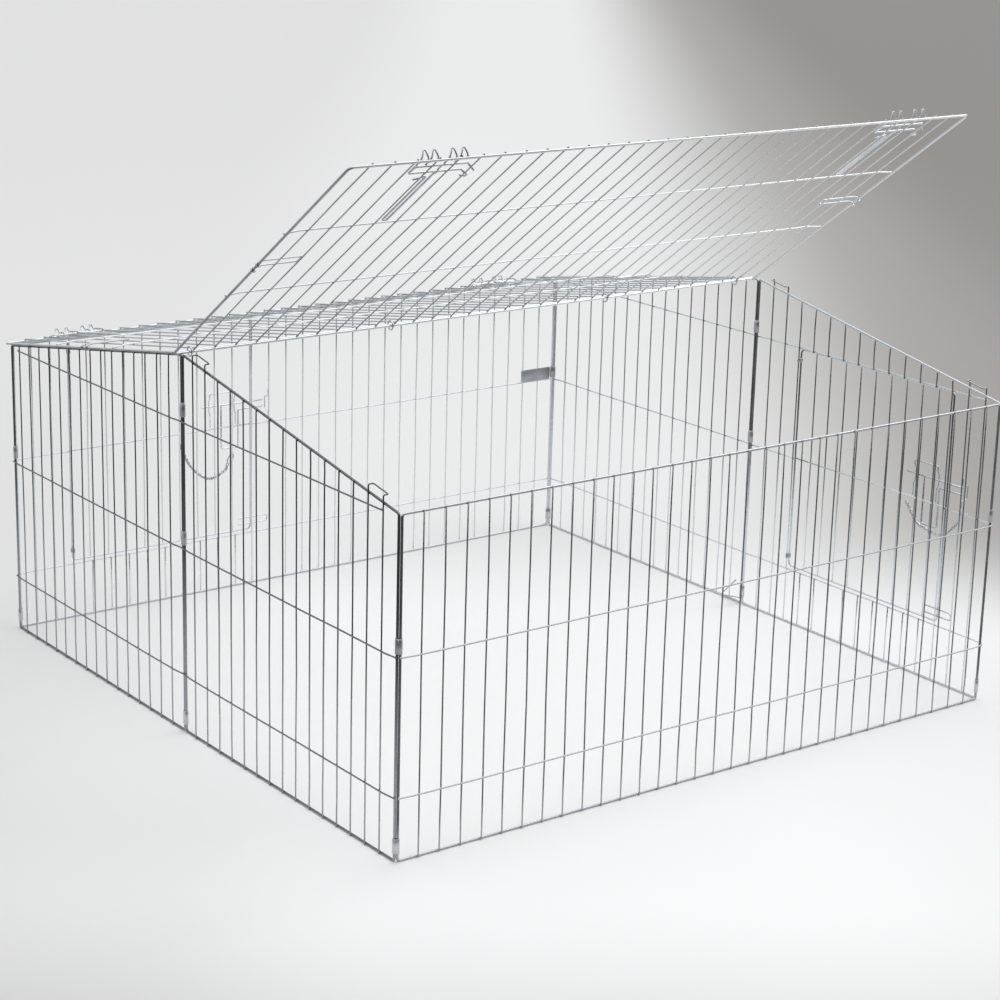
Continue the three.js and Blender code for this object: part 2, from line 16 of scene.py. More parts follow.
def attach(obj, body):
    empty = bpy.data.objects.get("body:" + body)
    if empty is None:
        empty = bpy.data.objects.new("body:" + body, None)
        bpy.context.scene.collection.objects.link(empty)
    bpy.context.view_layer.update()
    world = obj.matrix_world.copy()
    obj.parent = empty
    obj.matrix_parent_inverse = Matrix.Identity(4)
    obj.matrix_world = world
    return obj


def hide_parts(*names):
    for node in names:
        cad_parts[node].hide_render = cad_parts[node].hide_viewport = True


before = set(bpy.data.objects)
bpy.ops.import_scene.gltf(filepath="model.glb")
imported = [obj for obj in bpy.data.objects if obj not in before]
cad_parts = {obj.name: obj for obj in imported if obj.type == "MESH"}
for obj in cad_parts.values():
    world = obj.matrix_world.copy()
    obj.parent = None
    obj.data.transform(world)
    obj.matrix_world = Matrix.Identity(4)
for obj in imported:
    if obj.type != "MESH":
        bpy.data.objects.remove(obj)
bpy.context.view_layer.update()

# %% [markdown]
# ## The camera
# The view is from the front left corner, a little above the run. The distance matters more than the lens:
# it sets how fast the far walls shrink. So the place and the lens are set together, and the roll last.

# %% Camera
CAMERA_PLACE = Vector((-2.34908, -2.57240, 1.43954))
CAMERA_AIM = Vector((0.57713, 0.76640, -0.28205)).normalized()
CAMERA_ROLL = math.radians(1.52)
LENS, SENSOR = 89.38, 36.0

camera = bpy.data.objects.new("camera", bpy.data.cameras.new("camera"))
bpy.context.scene.collection.objects.link(camera)
right = CAMERA_AIM.cross(Vector((0, 0, 1))).normalized()
up = right.cross(CAMERA_AIM)
rolled_right = right * math.cos(CAMERA_ROLL) + up * math.sin(CAMERA_ROLL)
rolled_up = up * math.cos(CAMERA_ROLL) - right * math.sin(CAMERA_ROLL)
turn = Matrix((rolled_right, rolled_up, -CAMERA_AIM)).transposed()
camera.matrix_world = Matrix.Translation(CAMERA_PLACE) @ turn.to_4x4()
camera.data.lens = LENS
camera.data.sensor_width = SENSOR
camera.data.clip_end = 200
bpy.context.scene.camera = camera
print("camera", tuple(round(v, 3) for v in camera.location), "lens", LENS)

# %% [markdown]
# ## Sweeping a wire
# A curve object with a bevel gives a tube at once, but its ends stay open or square, and every panel would
# be a hundred curves. Here the rings are laid down in mesh code instead: one ring of points at each step of
# the path, turned as little as possible from the ring before it, so the tube never twists. The two ends get
# a small chamfer, as a sheared wire has after tumbling. A whole panel is one Wirework, and becomes one mesh.

# %% Bends and wires
MM = 0.001
SIDES = 10
TIP, CHAMFER = 0.62, 0.4
SHARP_EDGE = math.radians(50)


def arc_corners(path, radius, steps=6, closed=False):
    """Replaces each sharp corner of a path by an arc."""
    out = []
    for i, corner in enumerate(path):
        if not closed and i in (0, len(path) - 1):
            out.append(corner)
            continue
        to_before = (path[i - 1] - corner).normalized()
        to_after = (path[(i + 1) % len(path)] - corner).normalized()
        half = to_before.angle(to_after) / 2
        if half > 1.55:
            out.append(corner)
            continue
        reach = radius / math.tan(half)
        centre = corner + (to_before + to_after).normalized() * (radius / math.sin(half))
        start = corner + to_before * reach - centre
        end = corner + to_after * reach - centre
        axis = start.cross(end).normalized()
        turn_by = math.pi - 2 * half
        for k in range(steps + 1):
            out.append(centre + Matrix.Rotation(turn_by * k / steps, 3, axis) @ start)
    return out


def smooth_path(points, per_span=6):
    """A smooth path through the given points."""
    ends = [2 * points[0] - points[1]] + list(points) + [2 * points[-1] - points[-2]]
    out = []
    for i in range(1, len(ends) - 2):
        a, b, c, d = ends[i - 1:i + 3]
        for k in range(per_span):
            t = k / per_span
            out.append(0.5 * ((2 * b) + (c - a) * t + (2 * a - 5 * b + 4 * c - d) * t * t
                              + (3 * b - a - 3 * c + d) * t ** 3))
    out.append(points[-1].copy())
    return out


class Wirework:
    """Wires, weld beads and bent sheet that become one mesh. Points are in the panel's own millimetres."""

    def __init__(self):
        self.points = []
        self.faces = []
        self.bright = []

    def paint_sheen(self, first, amount, where=lambda p: True):
        """Marks the points from number first on for painted reflection, which lightens them, where they pass
        the test.
        """
        self.bright += [0.0] * (len(self.points) - len(self.bright))
        for i in range(first, len(self.points)):
            if where(self.points[i]):
                self.bright[i] = amount

    def stitch(self, ring_a, ring_b, offset=0):
        """Joins two rings of points by a belt of faces."""
        count = len(ring_a)
        for k in range(count):
            n = (k + 1) % count
            across_k, across_n = ring_b[(k + offset) % count], ring_b[(n + offset) % count]
            self.faces.append((ring_a[k], ring_a[n], across_n, across_k))

    def ring(self, centre, side, over, radius, sides):
        first = len(self.points)
        for k in range(sides):
            a = 2 * math.pi * k / sides
            self.points.append(centre + (side * math.cos(a) + over * math.sin(a)) * radius)
        return list(range(first, first + sides))

    def wire(self, path, radius, closed=False, sides=SIDES):
        """A round wire along the path. A closed one is stitched where its turned rings fit best."""
        count = len(path)
        tangents = []
        for i in range(count):
            before = path[i - 1] if closed or i else path[i]
            after = path[(i + 1) % count] if closed or i < count - 1 else path[i]
            tangents.append((after - before).normalized())
        side = tangents[0].orthogonal().normalized()
        first_side = side
        rings = []
        for i, (p, t) in enumerate(zip(path, tangents)):
            side = (side - t * side.dot(t)).normalized()
            over = t.cross(side)
            if not closed and i in (0, count - 1):
                way = -1 if i == 0 else 1
                tip = self.ring(p, side, over, radius * TIP, sides)
                collar = self.ring(p - t * way * radius * CHAMFER, side, over, radius, sides)
                rings += [tip, collar] if i == 0 else [collar, tip]
            else:
                rings.append(self.ring(p, side, over, radius, sides))
        for a, b in zip(rings, rings[1:]):
            self.stitch(a, b)
        if closed:
            t = tangents[0]
            side = (side - t * side.dot(t)).normalized()
            angle = math.atan2(side.dot(t.cross(first_side)), side.dot(first_side))
            self.stitch(rings[-1], rings[0], round(angle / (2 * math.pi) * sides))
        else:
            self.faces.append(tuple(reversed(rings[0])))
            self.faces.append(tuple(rings[-1]))

    def bead(self, centre, half):
        """A squashed ball of weld metal."""
        around, rows = 6, 3
        hx, hy, hz = half
        rings = []
        for r in range(1, rows + 1):
            a = math.pi * r / (rows + 1)
            first = len(self.points)
            for k in range(around):
                b = 2 * math.pi * k / around
                self.points.append(centre + Vector((hx * math.sin(a) * math.cos(b), hy * math.cos(a),
                                                    hz * math.sin(a) * math.sin(b))))
            rings.append(list(range(first, first + around)))
        for a, b in zip(rings, rings[1:]):
            self.stitch(a, b)
        for ring, y, flip in ((rings[0], hy, True), (rings[-1], -hy, False)):
            self.points.append(centre + Vector((0, y, 0)))
            pole = len(self.points) - 1
            for k in range(around):
                n = (k + 1) % around
                self.faces.append((ring[n], ring[k], pole) if flip else (ring[k], ring[n], pole))

    def band(self, loop, low, high, sheet):
        """A closed band of sheet: loop is a list of (point, outward) pairs, it stands from low to high."""
        rings = []
        edge = sheet * 0.3
        rows = [(0, low + edge), (0, high - edge), (edge, high), (sheet - edge, high),
                (sheet, high - edge), (sheet, low + edge), (sheet - edge, low), (edge, low)]
        for out, z in rows:
            first = len(self.points)
            for p, n in loop:
                self.points.append(Vector((p.x + n.x * out, p.y + n.y * out, z)))
            rings.append(list(range(first, first + len(loop))))
        for a, b in zip(rings, rings[1:] + rings[:1]):
            self.stitch(b, a)

    def make(self, name, place, finish):
        """Carries the points to their place, in metres, and makes the piece."""
        mesh = bpy.data.meshes.new(name)
        mesh.from_pydata([place @ (p * MM) for p in self.points], [], self.faces)
        mesh.materials.append(finish)
        self.paint_sheen(len(self.points), 0.0)
        # The mark of painted reflection, one value for each point.
        mesh.attributes.new("bright", "FLOAT", "POINT").data.foreach_set("value", self.bright)
        mesh.validate()
        piece = bpy.data.objects.new(name, mesh)
        bpy.context.scene.collection.objects.link(piece)
        mesh.polygons.foreach_set("use_smooth", [True] * len(mesh.polygons))
        mesh.set_sharp_from_angle(angle=SHARP_EDGE)
        return piece


def put_in(piece, body, slot, *nodes):
    """The piece rides on its body and stands for the measured nodes, which it hides. The slot is not used."""
    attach(piece, body)
    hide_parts(*nodes)
    return piece


# %% [markdown]
# ## Zinc
# Galvanised wire is bright metal under a thin, uneven oxide. Pure metal with one roughness looks like
# chrome, so two noises work on it: a coarse one shifts the grey a little along a wire, and a fine one
# breaks up the gloss and lifts the surface by a few hundredths of a millimetre. The noise runs in the
# mesh's own metres, so its grain keeps its real size on every piece.
# Light is painted into the colour as well: the upper side of a wire is lighter, a painted highlight of the
# light from above, and the foot of the walls is lighter, a painted reflection of the pale floor. The surface's
# own upward turn and its height above the ground place these.
# Each side has its own copy of the zinc, lighter or darker as painted reflection: the left walls are darker, as
# if they mirrored the dim studio, and the back wall, the roof and the raised panel are a shade brighter, as if
# they mirrored the pale floor and the bright sky. The mesh also carries a mark that the finish reads: it
# lightens the level wires and the rails, as a painted reflection of the bright sky.

# %% Zinc finishes
def node(material, kind, **inputs):
    """A new shader node. An underscore in an input's name stands for a space."""
    made = material.node_tree.nodes.new(kind)
    for name, value in inputs.items():
        made.inputs[name.replace("_", " ")].default_value = value
    return made


def link_ramp(material, source, start, end, low=0.0, high=1.0):
    """A soft step of the source, from low at start to high at end."""
    ramp = node(material, "ShaderNodeMapRange", From_Min=start, From_Max=end, To_Min=low, To_Max=high)
    ramp.interpolation_type = "SMOOTHSTEP"
    material.node_tree.links.new(source, ramp.inputs["Value"])
    return ramp.outputs["Result"]


def link_mix(material, fac, a, b):
    """Mixes two colours, each a plain value or the output of another node."""
    mixed = node(material, "ShaderNodeMix")
    mixed.data_type = "RGBA"
    material.node_tree.links.new(fac, mixed.inputs["Factor"])
    for socket, value in ((mixed.inputs[6], a), (mixed.inputs[7], b)):
        if isinstance(value, tuple):
            socket.default_value = (*value, 1)
        else:
            material.node_tree.links.new(value, socket)
    return mixed.outputs[2]


PATCH_SCALE, SPECKLE_SCALE, SHEET_SPECKLE, PLATE_SPECKLE = 26.0, 220.0, 500.0, 900.0
BUMP_STRENGTH, BUMP_HEIGHT = 0.15, 0.00002
GLOSSIER, ROUGHER = 0.07, 0.1


def zinc(name, dark, light, rough, top_highlight=None, fades=(), bright=(0.6, 0.625, 0.645),
         speckle_scale=SPECKLE_SCALE):
    """Zinc from dark to light in patches. Each fade is (axis, start, end, colour at its end), in metres, and is
    painted light along that axis.
    """
    material = bpy.data.materials.new(name)
    material.use_nodes = True
    links = material.node_tree.links
    shader = material.node_tree.nodes["Principled BSDF"]
    shader.inputs["Metallic"].default_value = 1.0
    place = node(material, "ShaderNodeTexCoord")
    patches = node(material, "ShaderNodeTexNoise", Scale=PATCH_SCALE, Detail=3.0)
    speckle = node(material, "ShaderNodeTexNoise", Scale=speckle_scale, Detail=2.0)
    for texture in (patches, speckle):
        links.new(place.outputs["Object"], texture.inputs["Vector"])
    colour = link_mix(material, link_ramp(material, patches.outputs["Fac"], 0.32, 0.7), dark, light)
    if fades:
        spot = node(material, "ShaderNodeSeparateXYZ")
        links.new(place.outputs["Object"], spot.inputs["Vector"])
    # The fades are painted light: the lower parts of the walls and the rear of the right walls are lighter as a
    # painted reflection of the pale floor, and the raised panel towards its right as a painted highlight of the
    # soft box.
    for axis, start, end, towards in fades:
        colour = link_mix(material, link_ramp(material, spot.outputs[axis], start, end), colour, towards)
    # The upper side of each wire is lighter: a painted highlight of the light from above.
    if top_highlight:
        turned = node(material, "ShaderNodeSeparateXYZ")
        links.new(place.outputs["Normal"], turned.inputs["Vector"])
        colour = link_mix(material, link_ramp(material, turned.outputs["Z"], 0.02, 0.45), colour, top_highlight)
    # The mark lightens the level wires and rails towards the last colour: a painted reflection of the bright
    # sky.
    mark = node(material, "ShaderNodeAttribute")
    mark.attribute_name = "bright"
    colour = link_mix(material, mark.outputs["Fac"], colour, bright)
    links.new(colour, shader.inputs["Base Color"])
    gloss = link_ramp(material, speckle.outputs["Fac"], 0.3, 0.7, rough - GLOSSIER, rough + ROUGHER)
    links.new(gloss, shader.inputs["Roughness"])
    bump = node(material, "ShaderNodeBump", Strength=BUMP_STRENGTH, Distance=BUMP_HEIGHT)
    links.new(speckle.outputs["Fac"], bump.inputs["Height"])
    links.new(bump.outputs["Normal"], shader.inputs["Normal"])
    return material


# The top colours are painted highlights on the upper sides of the wires, and the foot colours a painted
# reflection of the pale floor low on the walls.
PALE_TOP_HIGHLIGHT = (0.52, 0.54, 0.555)
FOOT_REFLECTION = (0.42, 0.43, 0.435)
BLUE_FOOT_REFLECTION = (0.68, 0.73, 0.765)
WHITE_TOP_HIGHLIGHT = (0.62, 0.65, 0.675)
DARK_ZINC, LIGHT_ZINC = (0.1, 0.104, 0.108), (0.16, 0.166, 0.172)
# One copy of the zinc per side, lighter or darker as painted reflection: the left walls darker, the back wall,
# the roof and the raised panel lighter.
front_zinc = zinc("front_zinc", DARK_ZINC, LIGHT_ZINC, 0.3, WHITE_TOP_HIGHLIGHT, [("Z", 0.07, 0.0, FOOT_REFLECTION)])
left_zinc = zinc("left_zinc", (0.064, 0.067, 0.07), (0.1, 0.105, 0.11), 0.3, (0.2, 0.207, 0.214),
                 [("Z", 0.33, 0.08, (0.34, 0.365, 0.385))], (0.2, 0.21, 0.22))
right_zinc = zinc("right_zinc", DARK_ZINC, LIGHT_ZINC, 0.3, PALE_TOP_HIGHLIGHT,
                  [("Y", 0.5, 1.15, (0.36, 0.382, 0.402)), ("Z", 0.34, 0.14, BLUE_FOOT_REFLECTION)], (0.74, 0.79, 0.82))
back_zinc = zinc("back_zinc", (0.3, 0.318, 0.335), (0.42, 0.445, 0.465), 0.32, WHITE_TOP_HIGHLIGHT,
                 [("Z", 0.5, 0.38, (0.72, 0.755, 0.78))], (0.74, 0.78, 0.81))
roof_zinc = zinc("roof_zinc", (0.25, 0.272, 0.292), (0.4, 0.43, 0.458), 0.34, (0.7, 0.745, 0.78),
                 bright=(0.8, 0.85, 0.885))
# The raised panel is lighter towards its right: a painted highlight of the soft box.
lid_zinc = zinc("lid_zinc", (0.25, 0.262, 0.275), (0.36, 0.375, 0.39), 0.34, WHITE_TOP_HIGHLIGHT,
                [("X", -0.3, 0.5, (0.68, 0.7, 0.715))], (0.96, 0.975, 0.985))
# A lit copy of the fitting zinc: a painted highlight.
highlit_fitting = zinc("highlit_fitting", (0.6, 0.645, 0.68), (0.78, 0.82, 0.85), 0.28, (0.9, 0.93, 0.95))
fitting_zinc = zinc("fitting_zinc", (0.3, 0.325, 0.35), (0.46, 0.49, 0.52), 0.28, (0.7, 0.73, 0.755))
# The sleeves are lighter near the ground: a painted reflection of the pale floor.
sheet_zinc = zinc("sheet_zinc", (0.24, 0.248, 0.256), (0.42, 0.432, 0.444), 0.32, (0.7, 0.72, 0.735),
                  [("Z", 0.1, 0.02, (0.6, 0.62, 0.635))], speckle_scale=SHEET_SPECKLE)
chain_zinc = zinc("chain_zinc", (0.36, 0.375, 0.39), (0.56, 0.58, 0.6), 0.24, (0.7, 0.72, 0.74))
plate_metal = zinc("plate_metal", (0.44, 0.46, 0.475), (0.54, 0.56, 0.575), 0.42,
                   speckle_scale=PLATE_SPECKLE)
print("finishes", [m.name for m in bpy.data.materials if not m.users])

# %% [markdown]
# ## Where the panels stand
# Every panel is drawn flat, as the front wall stands: x along it, z up it, and the outside towards -y. A
# matrix then carries it to its side of the square. The numbers repeat the measured solids, in millimetres.

# %% Measures of the run
WIDTH, DEPTH = 1150.0, 1150.0
EAVE, RIDGE = 498.0, 598.0
FRAME_R, BAR_R, CROSS_R, DOOR_R, BOLT_R, FITTING_R = 2.0, 1.1, 1.25, 1.5, 1.5, 1.1
WALL_BEND, ROOF_BEND = 4.2, 7.0
GAP, WELD, BEAD_SUNK = 0.3, 0.2, 0.1
RAIL_BEAD, CROSS_BEAD, DOOR_BEAD = (1.8, 1.1, 2.2), (1.8, 0.9, 1.8), (1.8, 0.9, 2.0)
RAIL_FOOT = 1.732
BAR_FOOT = 0.2
OVERRUN = 2.4
CORNER_SETBACK = 3.0406
MIDDLE_SETBACK = 2.15
HALF = DEPTH / 2
FRONT_GAPS, SIDE_GAPS, DOOR_GAPS = 32, 16, 10
FRONT_PITCH, SIDE_PITCH = WIDTH / FRONT_GAPS, HALF / SIDE_GAPS
LOW_CROSS, MID_CROSS, EAVE_CROSS = 95.0, 298.0, 496.0
BAR_OUT = FRAME_R + BAR_R - WELD
CROSS_OUT = BAR_OUT + BAR_R + CROSS_R - WELD
POST_CROSS_OUT = FRAME_R + CROSS_R - WELD
DOOR_OUT = 8.8
DOOR_BAR_OUT = DOOR_OUT + DOOR_R + BAR_R - WELD
BOLT_OUT = DOOR_BAR_OUT + BAR_R + GAP + BOLT_R
ARCH_OUT = BOLT_OUT + BOLT_R + 3 * GAP + FITTING_R
ROD_OUT = BAR_OUT + BAR_R + GAP + BOLT_R
FOOT_OUT = BAR_OUT + BAR_R + GAP + FITTING_R

luck = random.Random(11)


def at(x, out, z):
    return Vector((x, -out, z))


def standing(x, y, degrees):
    return Matrix.Translation((x * MM, y * MM, 0)) @ Matrix.Rotation(math.radians(degrees), 4, "Z")


def wander(size):
    return luck.uniform(-size, size)


WALL_PLACES = {
    "front_wall": standing(-WIDTH / 2, 0, 0),
    "right_front_wall": standing(WIDTH / 2, 0, 90),
    "right_rear_wall": standing(WIDTH / 2, HALF, 90),
    "back_wall": standing(WIDTH / 2, DEPTH, 180),
    "left_rear_wall": standing(-WIDTH / 2, DEPTH, -90),
    "left_front_wall": standing(-WIDTH / 2, HALF, -90),
}
print("bars every", FRONT_PITCH, "mm, level wires stand out", round(CROSS_OUT, 2), "mm")

# %% [markdown]
# ## Mesh parts
# A real panel is never as even as a drawing. Bars wander by half a millimetre between welds, and the eye
# reads that as wire and not as a grid. At each crossing a resistance weld has squeezed a little metal out,
# so a small squashed bead sits there.

# %% Bars, level wires and frames
def bar(work, x, stops, out=BAR_OUT):
    """An upright bar, welded at the stops between its ends."""
    path = []
    for i, z in enumerate(stops):
        if i:
            path.append(at(x + wander(0.9), out + wander(0.15), (z + stops[i - 1]) / 2))
        path.append(at(x + wander(0.5), out, z))
    work.wire(path, BAR_R)


def level_wire(work, z, start, end, start_post, end_post, bright):
    """A level wire on the outside of the bars. Near a post it comes in and is welded to the post."""
    first = len(work.points)
    lead, longest_step = 22, 120
    if start_post:
        path = [at(start - 2.5, POST_CROSS_OUT, z), at(start + 3, POST_CROSS_OUT, z)]
    else:
        path = [at(start - 2.2, CROSS_OUT, z)]
    steps = max(2, round((end - start) / longest_step))
    for k in range(steps + 1):
        x = start + lead + (end - start - 2 * lead) * k / steps
        path.append(at(x, CROSS_OUT, z + (wander(0.5) if 0 < k < steps else 0)))
    if end_post:
        path += [at(end - 3, POST_CROSS_OUT, z), at(end + 2.5, POST_CROSS_OUT, z)]
    else:
        path.append(at(end + 2.2, CROSS_OUT, z))
    work.wire(path, CROSS_R)
    # Painted reflection: the level wire is lightened by the given amount.
    work.paint_sheen(first, bright)
    for x, post in ((start, start_post), (end, end_post)):
        if post:
            work.bead(at(x, FRAME_R, z), (2.6, 1.2, 1.9))


def outline_wire(work, corners, radius, bend_radius, bright, out=0.0):
    """A closed wire round a panel. Its posts keep the plain finish, and its rails are lightened by painted
    reflection.
    """
    first = len(work.points)
    path = arc_corners([at(x, out, z) for x, z in corners], bend_radius, 8, closed=True)
    work.wire(path, radius, closed=True, sides=12)
    left, right = corners[0][0] + bend_radius * 0.7, corners[1][0] - bend_radius * 0.7
    work.paint_sheen(first, bright, lambda p: left < p.x < right)


# %% [markdown]
# ## The six walls
# The front and back walls are level on top. The four side panels rise to the ridge, and carry one more
# level wire at the height of the eaves. In the two front ones, pairs of bars are one wire that loops over
# the sloped rail: the raised roof panel rests behind these loops. Where a door hangs, the bars stop at the
# level wires and leave the gap open.

# %% Walls
LOOP_RISE, LOOP_REACH, LOOP_BEND = 12.0, 8.0, 2.4
LOOP_PAIRS = ((1, 2), (14, 15))
# For each side: the finish, and how much painted reflection lightens its level wires and its rails.
WALL_FINISH = {"front": (front_zinc, 0.6, 0.45), "back": (back_zinc, 1, 0), "left": (left_zinc, 0.6, 0),
               "right": (right_zinc, 0.75, 0.6)}


def loop_over(work, x_a, x_b, top_at):
    """Two neighbouring bars in one wire, which loops over the sloped rail to its inside."""
    over_a, over_b = top_at(x_a) + LOOP_RISE, top_at(x_b) + LOOP_RISE
    inside = BAR_OUT - LOOP_REACH
    corners = [at(x_a, BAR_OUT, BAR_FOOT), at(x_a + wander(0.5), BAR_OUT, MID_CROSS), at(x_a, BAR_OUT, over_a),
               at(x_a, inside, over_a), at(x_b, inside, over_b), at(x_b, BAR_OUT, over_b),
               at(x_b + wander(0.5), BAR_OUT, MID_CROSS), at(x_b, BAR_OUT, BAR_FOOT)]
    work.wire(arc_corners(corners, LOOP_BEND, 5), BAR_R)


def wall(name, left, right, gaps, pitch, top_at, levels, door=None, loops=()):
    """A wall panel. Each level is (height, start, end, whether a post stands at its start, and at its end)."""
    work = Wirework()
    finish, level_sheen, rail_sheen = WALL_FINISH[name.split("_")[0]]
    outline_wire(work, [(left, RAIL_FOOT), (right, RAIL_FOOT), (right, top_at(right)), (left, top_at(left))],
                 FRAME_R, WALL_BEND, rail_sheen)
    looped = {k for pair in loops for k in pair}
    heights = [z for z, *_ in levels]
    for k in range(1, gaps):
        x, top = k * pitch, top_at(k * pitch)
        stretches = [[BAR_FOOT, *heights, top + OVERRUN]]
        if door and door[0] < k < door[1]:
            stretches = [[BAR_FOOT, LOW_CROSS + OVERRUN]]
            if EAVE_CROSS in heights:
                stretches.append([EAVE_CROSS - OVERRUN, top + OVERRUN])
        if k not in looped:
            for stops in stretches:
                bar(work, x, stops)
        for z in (RAIL_FOOT, *heights, top):
            if any(stops[0] < z < stops[-1] for stops in stretches):
                on_rail = z in (RAIL_FOOT, top)
                out = FRAME_R if on_rail else BAR_OUT + BAR_R
                work.bead(at(x, out - BEAD_SUNK, z), RAIL_BEAD if on_rail else CROSS_BEAD)
    for a, b in loops:
        loop_over(work, a * pitch, b * pitch, top_at)
    for z, start, end, start_post, end_post in levels:
        if door and LOW_CROSS < z < EAVE_CROSS:
            level_wire(work, z, start, door[0] * pitch, start_post, False, level_sheen)
            level_wire(work, z, door[1] * pitch, end, False, end_post, level_sheen)
        else:
            level_wire(work, z, start, end, start_post, end_post, level_sheen)
    piece = work.make(name.replace("_wall", "_panel"), WALL_PLACES[name], finish)
    put_in(piece, "walls", "panel_wire", name)
    print(name, "gaps", gaps, "faces", len(piece.data.polygons))


def long_wall(name, door=None):
    left, right = CORNER_SETBACK, WIDTH - CORNER_SETBACK
    levels = [(z, left, right, True, True) for z in (LOW_CROSS, MID_CROSS)]
    wall(name, left, right, FRONT_GAPS, FRONT_PITCH, lambda x: EAVE, levels, door)


def half_wall(name, rising, door=None, looped=False):
    left = CORNER_SETBACK if rising else MIDDLE_SETBACK
    right = HALF - (MIDDLE_SETBACK if rising else CORNER_SETBACK)
    slope = (RIDGE - EAVE) / HALF
    levels = [(z, left, right, True, True) for z in (LOW_CROSS, MID_CROSS)]
    if rising:
        levels.append((EAVE_CROSS, SIDE_PITCH, right, False, True))
    else:
        levels.append((EAVE_CROSS, left, HALF - SIDE_PITCH, True, False))
    wall(name, left, right, SIDE_GAPS, SIDE_PITCH, lambda x: EAVE + slope * (x if rising else HALF - x), levels,
         door, LOOP_PAIRS if looped else ())


SIDE_DOOR_BARS, BACK_DOOR_BARS = (3, 13), (19, 29)
long_wall("front_wall")
long_wall("back_wall", BACK_DOOR_BARS)
half_wall("right_front_wall", rising=True, door=SIDE_DOOR_BARS, looped=True)
half_wall("right_rear_wall", rising=False)
half_wall("left_rear_wall", rising=True)
half_wall("left_front_wall", rising=False, looped=True)

# %% [markdown]
# ## Sleeves
# Each pair of neighbouring posts is held by short sleeves of rolled sheet, so the walls can fold against
# each other. A strip is bent round both posts until its ends lap. The strip has rolled edges, and a seam
# with a small step shows where it laps.

# %% Sleeves and door clips
def strap_loop(distance, r_a, r_b, squeeze, steps=9):
    """Points and outward directions of a strap round two posts, drawn in by squeeze between them."""
    lean = math.asin((r_b - r_a) / distance)
    loop = []
    for cx, r, start, end in ((0, r_a, math.pi / 2 + lean, 1.5 * math.pi - lean),
                              (distance, r_b, 1.5 * math.pi - lean, 2.5 * math.pi + lean)):
        for k in range(steps + 1):
            a = start + (end - start) * k / steps
            n = Vector((math.cos(a), math.sin(a), 0))
            loop.append((Vector((cx, 0, 0)) + n * r, n))
        side = -1 if cx == 0 else 1
        mid = Vector((distance / 2, side * ((r_a + r_b) / 2 - squeeze), 0))
        loop.append((mid, Vector((0, side, 0))))
    return loop


STRIP = 0.8
LAP_SUNK, LAP_STEP, LAP_BEVEL = 0.02, 0.45, 0.3
LAP_INSET, LAP_TOP_INSET = 1.2, 1.6


def strap(name, place, distance, r_a, r_b, height, stands_for, squeeze=0.0):
    """A strip of sheet bent round two wires, with a small step where its ends lap."""
    work = Wirework()
    work.band(strap_loop(distance, r_a + GAP, r_b + GAP, squeeze), 0, height, STRIP)
    lap_start, lap_end = distance * 0.25, distance * 0.75
    y = -(r_a + GAP + STRIP - squeeze) + LAP_SUNK
    first = len(work.points)
    for inset, out, low in ((0.0, 0.0, LAP_INSET), (LAP_BEVEL, LAP_STEP, LAP_TOP_INSET)):
        x0, x1 = lap_start + inset, lap_end - inset
        work.points += [Vector((x, y - out, z)) for x, z in ((x0, low), (x1, low), (x1, height - low),
                                                             (x0, height - low))]
    work.faces += [tuple(first + i for i in f) for f in
                   ((4, 5, 6, 7), (0, 1, 5, 4), (1, 2, 6, 5), (2, 3, 7, 6), (3, 0, 4, 7), (3, 2, 1, 0))]
    piece = work.make(name, place, sheet_zinc)
    return put_in(piece, "walls", "sheet_fitting", stands_for)


def between(a, b, z):
    """The place of a strap that goes round the points a and b, and how far apart they are."""
    along = Vector((b[0] - a[0], b[1] - a[1]))
    angle = math.atan2(along.y, along.x)
    return Matrix.Translation((a[0] * MM, a[1] * MM, z * MM)) @ Matrix.Rotation(angle, 4, "Z"), along.length


LEFT_X, RIGHT_X = -WIDTH / 2, WIDTH / 2
POSTS = {
    "front_left": ((LEFT_X, CORNER_SETBACK), (LEFT_X + CORNER_SETBACK, 0)),
    "front_right": ((RIGHT_X - CORNER_SETBACK, 0), (RIGHT_X, CORNER_SETBACK)),
    "rear_right": ((RIGHT_X, DEPTH - CORNER_SETBACK), (RIGHT_X - CORNER_SETBACK, DEPTH)),
    "rear_left": ((LEFT_X + CORNER_SETBACK, DEPTH), (LEFT_X, DEPTH - CORNER_SETBACK)),
    "middle_left": ((LEFT_X, HALF - MIDDLE_SETBACK), (LEFT_X, HALF + MIDDLE_SETBACK)),
    "middle_right": ((RIGHT_X, HALF - MIDDLE_SETBACK), (RIGHT_X, HALF + MIDDLE_SETBACK)),
}
SLEEVE_LEVELS = {"lower": 13.0, "middle": 303.0, "upper": 503.0}
SLEEVE_HIGH, SLEEVE_SQUEEZE = 22.0, 0.15
sleeves = []
for post, (a, b) in POSTS.items():
    for which, z in SLEEVE_LEVELS.items():
        if which == "upper" and not post.startswith("middle"):
            continue
        place, distance = between(a, b, z)
        sleeves.append(strap(f"{post}_{which}_sleeve", place, distance, FRAME_R, FRAME_R, SLEEVE_HIGH,
                             f"{post}_sleeve_{which}", SLEEVE_SQUEEZE))
print("sleeves", len(sleeves))

# %% [markdown]
# ## The roof panels
# A roof panel is one more welded panel, hung from the ridge by rings. At its lower edge stand two groups of
# four lugs: each is a hairpin of wire whose nose stands up from the edge wire, and its long leg runs back
# over the rods of the latch and hooks round one of them. The front panel is propped open.

# %% Roof panels with their lugs
RIDGE_RAIL, RAIL_ASIDE, ROOF_LENGTH = 601.3768, 4.0, 579.5319
LID_ANGLE, ROOF_SLOPE = math.radians(36), math.radians(9.8436)
LUG_NOSE = 14.0
ROD_LEVELS = (27.0, 45.0)
LUG_PLACES = (-32.0, -16.0, 14.0, 32.0)
LATCH_PLACES = (152.0, 1021.0)


